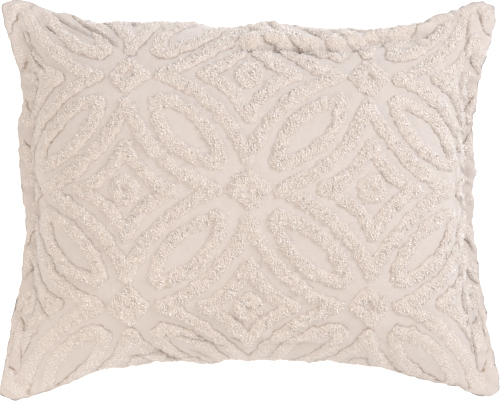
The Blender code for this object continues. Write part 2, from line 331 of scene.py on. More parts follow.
# Where curls stand on a row: how far each is off its place, from how high a row, how far out of
# its edge, and how many stray past it.
CURL_JITTER = 0.42
CURL_LEAST_HEIGHT = 0.02
CURL_EDGE = (-0.0022, 0.0002)
STRAY_SHARE = 0.05
STRAY_REACH = 0.002

# One curl of pile. It leans out of its row, and with its neighbours in a small tuft.
CURL_LENGTH = (0.0026, 0.0043)
CURL_RADIUS = (0.00071, 0.00105)
CURL_SUNK = 0.0006
CURL_SIDES = 4
CURL_LEAN = 0.75
CURL_LEAN_CURVE = 1.5
OPEN_SIDE_UPRIGHT = 0.9
CURL_SPREAD = 0.34
CURL_BEND = 0.55
CURL_BEND_RANGE = (0.3, 1.2)
CURL_BEND_DOWN = 0.35
TUFT_SIZE = 0.0056
TUFT_LEAN = 1.0
TUFT_SHADE = 0.5
# share of its length and radius that a curl has on a flat row, and what full height adds
LENGTH_SHARES = (0.35, 0.65)
RADIUS_SHARES = (0.8, 0.2)
# share of the length, share of the radius, share of the bend
CURL_RINGS = (
    (0.00, 0.95, 0.00),
    (0.50, 1.00, 0.22),
    (0.92, 0.72, 0.75),
)
CURL_TIP = (1.08, 1.00)

# Cloth and pile, as linear colours.
GROUND_COLOUR = (0.607, 0.530, 0.484)
GROUND_SHADE = (0.590, 0.510, 0.460)
GROUND_FLECK = (0.545, 0.465, 0.420)
# painted shade: the dark colour of the thin lines drawn at the open feet of rows and in the
# crevices, where shadow falls
CREVICE_PAINTED_SHADE = (0.350, 0.255, 0.195)
PILE_COLOUR = (0.890, 0.817, 0.772)
PILE_DARK = (0.735, 0.648, 0.584)
# painted shade: the pile's yarn colour darkened for the shadow down among the curls, on the bed
# under the pile and at each curl's foot
PILE_PAINTED_SHADE = (0.620, 0.525, 0.458)
# width and fade of the thin lines of painted shade, and how far out of a row's foot they are drawn
LINE_HALF_WIDTH = 0.0006
LINE_FADE = 2.2
FOOT_LINE_OUT = 0.0006

# The shaders' unevenness: scale and detail, then the range that it is spread from, and to.
PATCH_NOISE = (14.0, 4.0)
PATCH_RANGE = (0.3, 0.7)
FLECK_NOISE = (430.0, 3.0)
FLECK_RANGE = (0.52, 0.80)
# the break noise breaks up the thin lines of painted shade
BREAK_NOISE = (240.0, 2.0)
BREAK_RANGE = (0.36, 0.56, 0.25, 1.0)
SLUB_NOISE = (420.0, 3.0)
# how high the pile must stand for the bed under it to turn to painted shade
BED_RANGE = (0.05, 0.5)
# how far down a crease's floor the thin line of painted shade is drawn
CREVICE_RANGE = (0.2, 0.6)
SHADE_RANGE = (0.0, 0.8)
# where along each curl the painted shade at its foot gives way to the yarn colour
RISE_RANGE = (-0.5, 0.5)
WEAVE_SCALE = 220.0
WEAVE_DISTORTION = 0.6
WEAVE_BUMP = 0.5
WEAVE_DEPTH = 0.0006
# roughness and sheen
CLOTH_FINISH = (0.9, 0.45)
PILE_FINISH = (0.95, 0.45)
FLOOR_FINISH = (0.9, 0.0)
COVER_VALUES = ("pile", "foot", "shown", "floor", "gap")

# Floor, world and lights.
FLOOR_COLOUR = (0.97, 0.97, 0.97)
FLOOR_SIZE = 12.0
WORLD_COLOUR = (1.0, 1.0, 1.0)
WORLD_STRENGTH = 0.48
SUN_FROM = (0.16, 0.16, 1.0)
SUN_ANGLE = math.radians(50)
SUN_STRENGTH = 1.31
FLOOR_GLOW = 0.28
# name, place, size, watts, colour
LIGHTS = (
    ("key_light", (3.4, 1.7, 2.6), 1.8, 121.0, (0.84, 0.91, 1.0)),
    ("fill_light", (-1.7, -1.5, 2.0), 1.2, 34.0, (1.0, 0.92, 0.83)),
)
LIGHT_AIM = (0.0, 0.0, 0.08)

# Camera: the photo's view, straight down.
PHOTO_WIDTH = 500
PHOTO_HEIGHT = 404
METRES_PER_PIXEL = 0.0012716
CAMERA_DISTANCE = 4.1
PHOTO_MIDDLE = (250.5, 200.0)
SENSOR = 36.0


def read_table(place, rows):
    """Reads a table of (place, value) rows as a smooth curve through its rows."""
    places, values = np.array(rows, float).T
    slopes = np.gradient(values, places)
    place = np.clip(place, places[0], places[-1])
    row = np.clip(np.searchsorted(places, place) - 1, 0, len(places) - 2)
    gap = places[row + 1] - places[row]
    s = (place - places[row]) / gap
    from_values = (1 + 2 * s) * (1 - s) ** 2 * values[row] + s**2 * (3 - 2 * s) * values[row + 1]
    from_slopes = s * (1 - s) ** 2 * slopes[row] + s**2 * (s - 1) * slopes[row + 1]
    return from_values + gap * from_slopes


def arch(share, reach, rise, fullness):
    """Lays a strip of cloth over the filling; returns how far out and how high it comes."""
    turn = np.linspace(0, LAST_SLOPE, ARCH_STEPS)
    out = (np.sin(turn) / math.sin(LAST_SLOPE)) ** (2 / fullness)
    up = (np.cos(turn) - math.cos(LAST_SLOPE)) / (1 - math.cos(LAST_SLOPE))
    up = np.clip(up, 0, 1) ** (2 / fullness)
    length = np.concatenate([[0], np.cumsum(np.hypot(np.diff(out), rise * np.diff(up)))])
    length = length / length[-1]
    size = np.abs(share)
    on_filling = size < reach
    lies_out = np.where(on_filling, reach * np.interp(size / reach, length, out), size)
    lies_up = np.where(on_filling, np.interp(size / reach, length, up), 0.0)
    return np.sign(share) * lies_out, lies_up


def seam_distance(p, q):
    """How far a point of the flat panel lies inside the seam, whose corners are rounded."""
    past_x = np.abs(p) - (HALF_WIDTH - CORNER_RADIUS)
    past_y = np.abs(q) - (HALF_HEIGHT - CORNER_RADIUS)
    outside = np.hypot(np.maximum(past_x, 0), np.maximum(past_y, 0))
    return CORNER_RADIUS - outside - np.minimum(np.maximum(past_x, past_y), 0)


def lay(p, q):
    """Lays points of the flat panel on the floor plan: x, y, seam height and share of the crown."""
    u = p / HALF_WIDTH
    v = q / HALF_HEIGHT
    rise_u = FACE_CROWN / (BODY_HALF_WIDTH * FILLING_REACH_X)
    rise_v = FACE_CROWN / (BODY_HALF_HEIGHT * FILLING_REACH_Y)
    out_u, up_u = arch(u, FILLING_REACH_X, rise_u, FULLNESS_X)
    out_v, up_v = arch(v, FILLING_REACH_Y, rise_v, FULLNESS_Y)
    plan_u = u + (out_u - u) * up_v
    plan_v = v + (out_v - v) * up_u
    side = np.where(u > 0, read_table(plan_v, RIGHT_SEAM), -read_table(plan_v, LEFT_SEAM))
    end = np.where(v > 0, read_table(plan_u, TOP_SEAM), -read_table(plan_u, BOTTOM_SEAM))
    end_reach = end - np.sign(v) * BODY_MIDDLE_Y
    pull_u = np.abs(plan_u) ** (SEAM_PULL - 1) * (side - BODY_HALF_WIDTH)
    pull_v = np.abs(plan_v) ** (SEAM_PULL - 1) * (end_reach - BODY_HALF_HEIGHT)
    x = plan_u * (BODY_HALF_WIDTH + pull_u)
    y = plan_v * (BODY_HALF_HEIGHT + pull_v) + BODY_MIDDLE_Y
    slack = np.abs(u * v) ** CORNER_SHARPNESS
    wave_u = np.sin(SEAM_WAVE_TURNS[0] * u + SEAM_WAVE_STARTS[0])
    wave_v = np.cos(SEAM_WAVE_TURNS[1] * v + SEAM_WAVE_STARTS[1])
    seam = SEAM_HEIGHT - CORNER_DROOP * slack + SEAM_WAVE * wave_u * wave_v
    return x, y, seam, up_u * up_v * (1 - CORNER_SLACKNESS * slack)


def rim(p, q):
    """Half the thickness of the cover where nothing fills it, thinning to nothing at the seam."""
    return RIM_THICKNESS / 2 * np.clip(seam_distance(p, q) / RIM_EDGE, 0, 1)


def face_surface(p, q):
    """The bare face, without its creases and its pile."""
    x, y, seam, crown = lay(p, q)
    return np.stack([x, y, seam + FACE_CROWN * crown + rim(p, q)], axis=-1)


def back_surface(p, q):
    """The plain back, which the floor presses flat."""
    x, y, seam, crown = lay(p, q)
    z = seam - BACK_CROWN * crown - rim(p, q)
    blended = (z + FLOOR_BLEND) ** 2 / (4 * FLOOR_BLEND)
    z = np.where(z > FLOOR_BLEND, z, np.where(z < -FLOOR_BLEND, 0.0, blended))
    return np.stack([x, y, z], axis=-1)


def smooth_line(points):
    """A smooth line through a few points, with its length up to each of its own points."""
    points = np.array(points, float)
    count = len(points)
    steps, weights, _ = spread(np.linspace(0, count - 1, (count - 1) * CREASE_STEPS + 1), count)
    line = sum(weight[:, None] * points[step] for step, weight in zip(steps, weights))
    lengths = np.hypot(*np.diff(line, axis=0).T)
    return line, np.concatenate([[0], np.cumsum(lengths)])


def crease_lift(p, q, creases):
    """How far some creases push the face out, how much a point is on a crease's floor, and the gap.

    The gap is the distance from the nearest crease, less than nothing on its right hand.
    """
    lift = np.zeros(p.shape)
    floors = np.zeros(p.shape)
    gaps = np.zeros(p.shape)
    for points, depth, width, swell in creases:
        line, length_to = smooth_line(points)
        reach = (SWELL_OFFSET + 2 * SWELL_WIDTH) * width
        low = line.min(0) - reach
        high = line.max(0) + reach
        close = (p > low[0]) & (p < high[0]) & (q > low[1]) & (q < high[1])
        if not close.any():
            continue
        offset = np.stack([p[close], q[close]], axis=-1)[:, None, :] - line[:-1]
        edge = np.diff(line, axis=0)
        share = np.clip((offset * edge).sum(-1) / (edge**2).sum(-1), 0, 1)
        gap = offset - share[..., None] * edge
        nearest = np.hypot(gap[..., 0], gap[..., 1]).argmin(1)
        picks = np.arange(len(nearest))
        gap = gap[picks, nearest]
        edge = edge[nearest]
        side = np.sign(edge[:, 0] * gap[:, 1] - edge[:, 1] * gap[:, 0])
        across = side * np.hypot(gap[:, 0], gap[:, 1]) / width
        along = length_to[nearest] + share[picks, nearest] * np.hypot(edge[:, 0], edge[:, 1])
        from_ends = np.minimum(along, length_to[-1] - along)
        strength = np.clip(CREASE_END_SHARE + from_ends / CREASE_TAPER, 0, 1)
        trough = np.exp(-(across**2))
        roll = np.exp(-(((across - SWELL_OFFSET) / SWELL_WIDTH) ** 2))
        lift[close] += strength * (swell * roll - depth * trough)
        floor = strength * trough
        gaps[close] = np.where(floor > floors[close], across * width, gaps[close])
        floors[close] = np.maximum(floors[close], floor)
    return lift, floors, gaps


def noise(p, q, size, seed):
    """Smooth uneven hills of about one size, from -1 to 1."""
    cells = NOISE_CELLS
    hills = np.random.default_rng(seed).uniform(-1, 1, (cells, cells))
    x = p / size + NOISE_SHIFT[0]
    y = q / size + NOISE_SHIFT[1]
    i = np.floor(x).astype(int)
    j = np.floor(y).astype(int)
    s = x - i
    t = y - j
    s = s * s * (3 - 2 * s)
    t = t * t * (3 - 2 * t)
    low = hills[i % cells, j % cells] * (1 - s) + hills[(i + 1) % cells, j % cells] * s
    high = hills[i % cells, (j + 1) % cells] * (1 - s) + hills[(i + 1) % cells, (j + 1) % cells] * s
    return low * (1 - t) + high * t


class Panel:
    """A panel of cloth on the filled shape, as a grid of places that can be read anywhere."""

    def __init__(self, surface):
        self.columns = round(2 * HALF_WIDTH / COARSE_STEP) + 1
        self.lines = round(2 * HALF_HEIGHT / COARSE_STEP) + 1
        self.s, self.t = np.meshgrid(
            np.linspace(-1, 1, self.columns), np.linspace(-1, 1, self.lines), indexing="ij"
        )
        self.p, self.q = to_panel(self.s, self.t)
        self.places = surface(self.p, self.q)

    def read(self, p, q):
        """Places on the cloth and how they change along p and q, by smooth interpolation."""
        s, t = from_panel(p, q)
        i, weights_i, slopes_i = spread((s + 1) / 2 * (self.columns - 1), self.columns)
        j, weights_j, slopes_j = spread((t + 1) / 2 * (self.lines - 1), self.lines)
        place = 0
        along_p = 0
        along_q = 0
        for a, b in itertools.product(range(4), range(4)):
            corner = self.places[i[a], j[b]]
            place = place + (weights_i[a] * weights_j[b])[..., None] * corner
            along_p = along_p + (slopes_i[a] * weights_j[b])[..., None] * corner
            along_q = along_q + (weights_i[a] * slopes_j[b])[..., None] * corner
        return place, along_p, along_q

    def frame_at(self, p, q):
        """Places on the cloth with unit vectors along p, along q and straight out of it."""
        place, along_p, along_q = self.read(p, q)
        out = unit(np.cross(along_p, along_q))
        return place, unit(along_p), unit(along_q), out


def unit(vectors):
    """Vectors of the same directions, one long."""
    return vectors / np.maximum(np.linalg.norm(vectors, axis=-1, keepdims=True), 1e-12)


def side_reach(q):
    """How far the panel's sides stand out at height q, less where its corners are rounded."""
    into_corner = np.maximum(np.abs(q) - (HALF_HEIGHT - CORNER_RADIUS), 0)
    return HALF_WIDTH - CORNER_RADIUS + np.sqrt(np.maximum(CORNER_RADIUS**2 - into_corner**2, 0))


def to_panel(s, t):
    """The place in the flat panel of a point given in shares, from -1 to 1."""
    q = t * HALF_HEIGHT
    return s * side_reach(q), q


def from_panel(p, q):
    """The shares of a place in the flat panel."""
    return np.clip(p / side_reach(q), -1, 1), np.clip(q / HALF_HEIGHT, -1, 1)


def spread(place, count):
    """The four grid lines round a place, and the weights and slopes of a smooth curve on them."""
    cell = np.clip(np.floor(place).astype(int), 0, count - 2)
    f = place - cell
    lines = [np.clip(cell + step, 0, count - 1) for step in (-1, 0, 1, 2)]
    weights = [
        0.5 * (-f + 2 * f**2 - f**3),
        0.5 * (2 - 5 * f**2 + 3 * f**3),
        0.5 * (f + 4 * f**2 - 3 * f**3),
        0.5 * (-(f**2) + f**3),
    ]
    slopes = [
        0.5 * (-1 + 4 * f - 3 * f**2),
        0.5 * (-10 * f + 9 * f**2),
        0.5 * (1 + 8 * f - 9 * f**2),
        0.5 * (-2 * f + 3 * f**2),
    ]
    return lines, weights, slopes


def bow(start, middle, end):
    """Points of the round arc through three points."""
    a, b, c = (complex(*point) for point in (start, middle, end))
    w = (c - a) / (b - a)
    centre = (b - a) * (w - abs(w) ** 2) / (2j * w.imag) + a
    first = np.angle(a - centre)
    half_turn = np.angle((b - centre) / (a - centre))
    whole_turn = half_turn + np.angle((c - centre) / (b - centre))
    turn = first + whole_turn * np.linspace(0, 1, CURVE_STEPS + 1)
    arc = centre + abs(a - centre) * np.exp(1j * turn)
    return np.stack([arc.real, arc.imag], axis=-1)


def curved_diamond(reach, waist):
    """The four rows of a diamond whose sides curve in, each from tip to tip."""
    hip = waist / math.sqrt(2)
    corners = ((1, 1), (-1, 1), (-1, -1), (1, -1))
    return [bow((sx * reach, 0), (sx * hip, sy * hip), (0, sy * reach)) for sx, sy in corners]


def leaf(direction):
    """The two rows of a leaf along a diagonal. Its ends are blunt: the rows end side by side."""
    tip = LEAF_REACH / math.sqrt(2)
    side = LEAF_WAIST / math.sqrt(2)
    rows = []
    for turn in (1, -1):
        blunt = turn * LEAF_TIP / math.sqrt(2)
        start = (direction * (blunt - tip), -tip - blunt)
        end = (direction * (blunt + tip), tip - blunt)
        rows.append(bow(start, (direction * turn * side, -turn * side), end))
    return rows


def knot():
    """The small diamond-shaped loop of pile where four petals meet."""
    tips = [(KNOT_REACH, 0), (0, KNOT_REACH), (-KNOT_REACH, 0), (0, -KNOT_REACH), (KNOT_REACH, 0)]
    return [np.array(tips, float)]


def dot():
    """The small round loop of pile in the middle of a curved diamond."""
    turn = np.linspace(0, 2 * math.pi, CURVE_STEPS + 1)
    return [DOT_RADIUS * np.stack([np.cos(turn), np.sin(turn)], axis=-1)]


def pattern_rows():
    """Every row of pile in the flat panel, as runs of points."""
    rows = []

    def place(i, j, motif):
        rows.extend((row + (i, j)) * (PITCH_X, PITCH_Y) + PATTERN_SHIFT for row in motif)

    cells = range(-PATTERN_CELLS - 1, PATTERN_CELLS + 2)
    for i, j in itertools.product(cells, cells):
        if (i + j) % 2:
            place(i, j, curved_diamond(DIAMOND_REACH, DIAMOND_WAIST))
            place(i, j, curved_diamond(SMALL_DIAMOND_REACH, SMALL_DIAMOND_WAIST))
            place(i, j, dot())
        else:
            place(i, j, knot())
            place(i + 0.5, j + 0.5, leaf(1))
            place(i - 0.5, j + 0.5, leaf(-1))
    return rows


def nearest_row(p, q, rows, reach):
    """The way from the nearest row of pile to each point, in p and q, and its length."""
    gap_p = np.full(p.shape, reach)
    gap_q = np.full(p.shape, reach)
    nearest = np.full(p.shape, reach)
    for row in rows:
        low = row.min(0) - reach
        high = row.max(0) + reach
        close = np.flatnonzero((p > low[0]) & (p < high[0]) & (q > low[1]) & (q < high[1]))
        if not len(close):
            continue
        start = row[:-1]
        edge = row[1:] - start
        offset = np.stack([p[close], q[close]], axis=-1)[:, None, :] - start
        share = np.clip((offset * edge).sum(-1) / (edge**2).sum(-1), 0, 1)
        gaps = offset - share[..., None] * edge
        lengths = np.hypot(gaps[..., 0], gaps[..., 1])
        best = lengths.argmin(1)
        picks = np.arange(len(close))
        nearer = lengths[picks, best] < nearest[close]
        which = close[nearer]
        gap_p[which] = gaps[picks, best, 0][nearer]
        gap_q[which] = gaps[picks, best, 1][nearer]
        nearest[which] = lengths[picks, best][nearer]
    return gap_p, gap_q, nearest


def wander(p, q):
    """Moves points about a little, so that what is measured from them runs unevenly."""
    moved_p = p.copy()
    moved_q = q.copy()
    for number, (reach, size) in enumerate(WANDER):
        moved_p += reach * noise(p, q, size, WANDER_SEEDS[0] + number)
        moved_q += reach * noise(p, q, size, WANDER_SEEDS[1] + number)
    return moved_p, moved_q


def in_pile_field(p, q):
    """Whether pile may stand at a point: beyond the filling, on the rims, it is patchy."""
    past = (np.abs(p) - PATCHY_FROM) / (HALF_WIDTH - PATCHY_FROM)
    patches = (past < 0) | (noise(p, q, PATCH_SIZE, PATCH_SEED) > PATCHINESS * past - 1.0)
    off_corners = np.abs(p) + np.abs(q) < HALF_WIDTH + HALF_HEIGHT - PLAIN_CORNER
    return (seam_distance(p, q) > PILE_MARGIN) & off_corners & patches


def open_side(p, q, gap_p, gap_q):
    """Where a row's foot shows from above: on the uphill side of rows on the pillow's slopes."""
    down_p = (p / HALF_WIDTH) ** 3
    down_q = (q / HALF_HEIGHT) ** 3
    length = np.maximum(np.hypot(gap_p, gap_q), 1e-9)
    return np.clip(-FOOT_OPENING * (gap_p * down_p + gap_q * down_q) / length, 0, 1)


def on_top_roll(p, q):
    """How much a point lies on the roll of cloth along the top edge."""
    from_ends = np.minimum(p - ROLL_ENDS[0], ROLL_ENDS[1] - p) / ROLL_FADE[0]
    return np.clip(from_ends, 0, 1) * np.clip((q - ROLL_FROM) / ROLL_FADE[1], 0, 1)


def standing_share(p, q):
    """How high the pile stands at a point, as a share of full height, in the middle of a row."""
    outer = np.maximum(np.abs(p / HALF_WIDTH), np.abs(q / HALF_HEIGHT))
    share = 1 - (1 - FLAT_PILE_SHARE) * outer**3
    for flat, (start, over), place in (
        (FLAT_BOTTOM, FLAT_BOTTOM_FROM, -q),
        (FLAT_LEFT, FLAT_LEFT_FROM, -p),
    ):
        share = share - flat * np.clip((place - start) / over, 0, 1)
    share = np.maximum(share, LEAST_PILE)
    near_seam = PILE_AT_SEAM + (1 - PILE_AT_SEAM) * seam_distance(p, q) / PILE_FULL_FROM
    share = share * np.clip(near_seam, 0, 1)
    crack = np.exp(-((noise(p, q, CRACK_SIZE, CRACK_SEED) / CRACK_WIDTH) ** 2))
    lump = 1 - LUMP_HEIGHT + LUMP_HEIGHT * noise(p, q, LUMP_SIZE, LUMP_SEED)
    return share * (1 - CRACK_DEPTH * crack) * lump


def pile_at(p, q, rows):
    """The pile at each point, as five values.

    They are its share of full height, how far the point lies out of the row's foot, how much of
    the foot shows, and the way from the middle of the row, in p and in q.
    """
    shape = p.shape
    p = p.ravel()
    q = q.ravel()
    gap_p, gap_q, distance = nearest_row(*wander(p, q), rows, 2 * ROW_HALF_WIDTH)
    width = ROW_HALF_WIDTH
    for number, (reach, size) in enumerate(ROW_RAGGEDNESS):
        width = width + reach * noise(p, q, size, ROW_SEED + number)
    width = width * (1 + ROLL_WIDENING * on_top_roll(p, q))
    share = np.clip(distance / width, 0, 1)
    inside = in_pile_field(p, q)
    height = np.where(inside, standing_share(p, q) * np.sqrt(1 - share**ROW_ROUNDNESS), 0.0)
    height = height * (1 - crease_lift(p, q, CREVICES)[1])
    foot = distance - width
    shown = FOOT_DIP_SHARE + (1 - FOOT_DIP_SHARE) * open_side(p, q, gap_p, gap_q)
    shown = np.where(inside, shown, 0.0)
    return [values.reshape(shape) for values in (height, foot, shown, gap_p, gap_q)]


def face_unevenness(p, q):
    """Puckers that run in from the seams, and ripples all over."""
    inside = seam_distance(p, q)
    along = np.where(np.abs(p) / HALF_WIDTH > np.abs(q) / HALF_HEIGHT, q, p)
    depth, length = PUCKER
    fade = np.exp(-((inside / PUCKER_REACH) ** 2)) * np.clip(inside / PUCKER_START, 0, 1)
    puckers = depth * fade * noise(along, PUCKER_STRETCH * inside, length / 2, PUCKER_SEED)
    depth, length = RIPPLE
    large = noise(p, q, length, RIPPLE_SEEDS[0])
    small = noise(p, q, length / 4, RIPPLE_SEEDS[1])
    return puckers + depth * (large + 0.5 * small)


def fine_grid():
    """Places of the fine grid on a panel, which the back's wider grid fits into."""
    columns, lines = (
        BACK_EVERY * round(2 * half / (FACE_STEP * BACK_EVERY)) + 1
        for half in (HALF_WIDTH, HALF_HEIGHT)
    )
    s, t = np.meshgrid(np.linspace(-1, 1, columns), np.linspace(-1, 1, lines), indexing="ij")
    return to_panel(s, t)


def on_border(shape):
    """Whether each point of a grid lies on its border."""
    inner = np.zeros(shape, bool)
    inner[1:-1, 1:-1] = True
    return ~inner


def seam_unevenness(p, q):
    """How far the cloth near the seam lies out of the smooth outline, as steps in x and y."""
    out_p = np.maximum(np.abs(p) - (HALF_WIDTH - SEAM_UNEVEN_REACH), 0) * np.sign(p)
    out_q = np.maximum(np.abs(q) - (HALF_HEIGHT - SEAM_UNEVEN_REACH), 0) * np.sign(q)
    amount = 0
    for number, (depth, size) in enumerate(SEAM_UNEVENNESS):
        amount = amount + depth * noise(p, q, size, SEAM_SEED + number)
    way = np.stack([out_p, out_q, np.zeros_like(p)], axis=-1)
    return amount[..., None] * way / SEAM_UNEVEN_REACH


def raised_face(face, p, q, rows):
    """Places on the cover of the face, with the pile's values there."""
    place, _, _, out = face.frame_at(p, q)
    pile = pile_at(p, q, rows)
    height, foot, shown = pile[:3]
    dip = shown * np.exp(-((foot / FOOT_DIP_WIDTH) ** 2))
    raised = BED_SHARE * PILE_HEIGHT * height - FOOT_DIP * dip + face_unevenness(p, q)
    raised = raised + crease_lift(p, q, CREVICES)[0]
    return place + seam_unevenness(p, q) + raised[..., None] * out, pile


def make_cover(face, back, rows):
    """The cloth of both panels as one closed mesh, with a bed under each row of pile."""
    p, q = fine_grid()
    seam = on_border(p.shape)
    places, pile = raised_face(face, p, q, rows)
    _, floors, gaps = crease_lift(p, q, CREVICES)
    places[seam] = (face.read(p, q)[0] + seam_unevenness(p, q))[seam]
    numbers = np.arange(p.size).reshape(p.shape)

    back_p, back_q, back_seam = (values[::BACK_EVERY, ::BACK_EVERY] for values in (p, q, seam))
    back_place, _, _, back_out = back.frame_at(back_p, back_q)
    off_floor = np.clip(back_place[..., 2] / LOOSE_FROM, 0, 1)
    loose = off_floor * np.clip(seam_distance(back_p, back_q) / LOOSE_FROM, 0, 1)
    depth, size = BACK_RIPPLE
    ripple = depth * loose * noise(back_p, back_q, size, BACK_SEED)
    back_place = back_place + ripple[..., None] * back_out
    back_place = back_place + seam_unevenness(back_p, back_q)
    back_numbers = numbers[::BACK_EVERY, ::BACK_EVERY].copy()
    back_numbers[~back_seam] = p.size + np.arange((~back_seam).sum())
    all_places = np.concatenate([places.reshape(-1, 3), back_place[~back_seam]])

    cells = grid_cells(numbers).tolist() + back_cells(numbers, back_numbers)
    cover = new_object("sham_cover", all_places, cells)
    on_back = np.zeros((~back_seam).sum())
    for name, values in zip(COVER_VALUES, (*pile[:3], floors, gaps)):
        add_value(cover, name, np.concatenate([values.ravel(), on_back]))
    face_flat = np.stack([p, q], -1).reshape(-1, 2)
    back_flat = np.stack([back_p, back_q], -1)[~back_seam]
    add_flat_places(cover, np.concatenate([face_flat, back_flat]))
    return cover


def back_cells(numbers, back_numbers):
    """The back's cells: wider than the face's, but the outer ones take in every seam point."""
    every = BACK_EVERY
    columns, lines = back_numbers.shape
    cells = []
    for i, j in itertools.product(range(columns - 1), range(lines - 1)):
        from_i = every * i + 1
        from_j = every * j + 1
        cell = [back_numbers[i, j]]
        if i == 0:
            cell.extend(numbers[0, from_j : from_j + every - 1])
        cell.append(back_numbers[i, j + 1])
        if j == lines - 2:
            cell.extend(numbers[from_i : from_i + every - 1, -1])
        cell.append(back_numbers[i + 1, j + 1])
        if i == columns - 2:
            cell.extend(numbers[-1, from_j : from_j + every - 1][::-1])
        cell.append(back_numbers[i + 1, j])
        if j == 0:
            cell.extend(numbers[from_i : from_i + every - 1, 0][::-1])
        cells.append([int(number) for number in cell])
    return cells


def new_object(name, places, cells):
    """An object from an array of places and a list of cells of any size, shaded smooth."""
    mesh = bpy.data.meshes.new(name)
    sizes = np.array([len(cell) for cell in cells], np.int32)
    loops = np.fromiter(itertools.chain.from_iterable(cells), np.int32)
    mesh.vertices.add(len(places))
    mesh.vertices.foreach_set("co", np.asarray(places, np.float32).ravel())
    mesh.loops.add(len(loops))
    mesh.loops.foreach_set("vertex_index", loops)
    mesh.polygons.add(len(sizes))
    starts = np.concatenate([[0], np.cumsum(sizes)[:-1]]).astype(np.int32)
    mesh.polygons.foreach_set("loop_start", starts)
    mesh.update(calc_edges=True)
    mesh.shade_smooth()
    made = bpy.data.objects.new(name, mesh)
    bpy.context.scene.collection.objects.link(made)
    return made


def add_value(made, name, values):
    """Stores one number for each point of an object's mesh."""
    attribute = made.data.attributes.new(name, "FLOAT", "POINT")
    attribute.data.foreach_set("value", np.asarray(values, np.float32).ravel())


def add_flat_places(made, flat):
    """Stores where each point lies in the flat panel, in metres, as the mesh's UV map."""
    mesh = made.data
    corners = np.zeros(len(mesh.loops), np.int32)
    mesh.loops.foreach_get("vertex_index", corners)
    layer = mesh.uv_layers.new(name="flat_panel")
    layer.data.foreach_set("uv", flat[corners].astype(np.float32).ravel())


def curl_places(rows):
    """Where the curls stand in the flat panel: a jittered grid, kept where there is pile."""
    picks = np.random.default_rng(CURL_PLACE_SEED)
    step_q = CURL_SPACING * math.sqrt(0.75)
    lines = np.arange(-HALF_HEIGHT, HALF_HEIGHT, step_q)
    columns = np.arange(-HALF_WIDTH, HALF_WIDTH, CURL_SPACING)
    p, q = np.meshgrid(columns, lines, indexing="ij")
    p = p + CURL_SPACING / 2 * (np.arange(len(lines)) % 2)
    p = (p + picks.uniform(-CURL_JITTER, CURL_JITTER, p.shape) * CURL_SPACING).ravel()
    q = (q + picks.uniform(-CURL_JITTER, CURL_JITTER, q.shape) * CURL_SPACING).ravel()
    height, foot = pile_at(p, q, rows)[:2]
    stray = (foot > 0) & (foot < STRAY_REACH) & (picks.uniform(0, 1, len(p)) < STRAY_SHARE)
    on_row = (height > CURL_LEAST_HEIGHT) & (foot < picks.uniform(*CURL_EDGE, len(p)))
    kept = stray | on_row
    return p[kept], q[kept]


def curl_points(face, p, q, rows):
    """The points of each curl that stands at (p, q), ring by ring, and each curl's shade."""
    picks = np.random.default_rng(CURL_SEED)
    count = len(p)
    foot, (height, _, _, gap_p, gap_q) = raised_face(face, p, q, rows)
    _, along_p, along_q, out = face.frame_at(p, q)

    def any_way():
        turn = picks.uniform(0, 2 * math.pi, count)
        return np.cos(turn)[:, None] * along_p + np.sin(turn)[:, None] * along_q

    reach = np.hypot(gap_p, gap_q) / ROW_HALF_WIDTH
    upright = 1 - OPEN_SIDE_UPRIGHT * open_side(p, q, gap_p, gap_q)
    leaning = CURL_LEAN * reach**CURL_LEAN_CURVE * upright
    away = unit(gap_p[:, None] * along_p + gap_q[:, None] * along_q)
    loose = any_way()
    amount = CURL_SPREAD * np.sqrt(picks.uniform(0, 1, count))
    tuft_p, tuft_q, tuft_shade = (noise(p, q, TUFT_SIZE, seed) for seed in TUFT_SEEDS)
    together = TUFT_LEAN * (tuft_p[:, None] * along_p + tuft_q[:, None] * along_q)
    lean = unit(out + leaning[:, None] * away + amount[:, None] * loose + together)
    bend_way = any_way() - CURL_BEND_DOWN * out
    length = picks.uniform(*CURL_LENGTH, count) * (LENGTH_SHARES[0] + LENGTH_SHARES[1] * height)
    radius = picks.uniform(*CURL_RADIUS, count) * (RADIUS_SHARES[0] + RADIUS_SHARES[1] * height)
    across = unit(np.cross(lean, bend_way))
    over = np.cross(lean, across)
    bend = CURL_BEND * length * picks.uniform(*CURL_BEND_RANGE, count)
    foot = foot - CURL_SUNK * out

    def point_on(share, bent):
        return foot + (share * length)[:, None] * lean + (bent * bend)[:, None] * bend_way

    points = []
    for share, thickness, bent in CURL_RINGS:
        for side in range(CURL_SIDES):
            angle = 2 * math.pi * (side + share) / CURL_SIDES
            way = math.cos(angle) * across + math.sin(angle) * over
            points.append(point_on(share, bent) + (thickness * radius)[:, None] * way)
    points.append(point_on(*CURL_TIP))
    own_shade = picks.uniform(0, 1, count)
    shade = (1 - TUFT_SHADE) * own_shade + TUFT_SHADE * (tuft_shade + 1) / 2
    return np.stack(points, axis=1), shade


def curl_cells():
    """The cells of one curl: a tube of rings, closed at its tip."""
    cells = []
    for ring, side in itertools.product(range(len(CURL_RINGS) - 1), range(CURL_SIDES)):
        low = ring * CURL_SIDES + side
        low_next = ring * CURL_SIDES + (side + 1) % CURL_SIDES
        cells.append([low, low_next, low_next + CURL_SIDES, low + CURL_SIDES])
    top = (len(CURL_RINGS) - 1) * CURL_SIDES
    tip = len(CURL_RINGS) * CURL_SIDES
    for side in range(CURL_SIDES):
        cells.append([top + side, top + (side + 1) % CURL_SIDES, tip])
    return cells


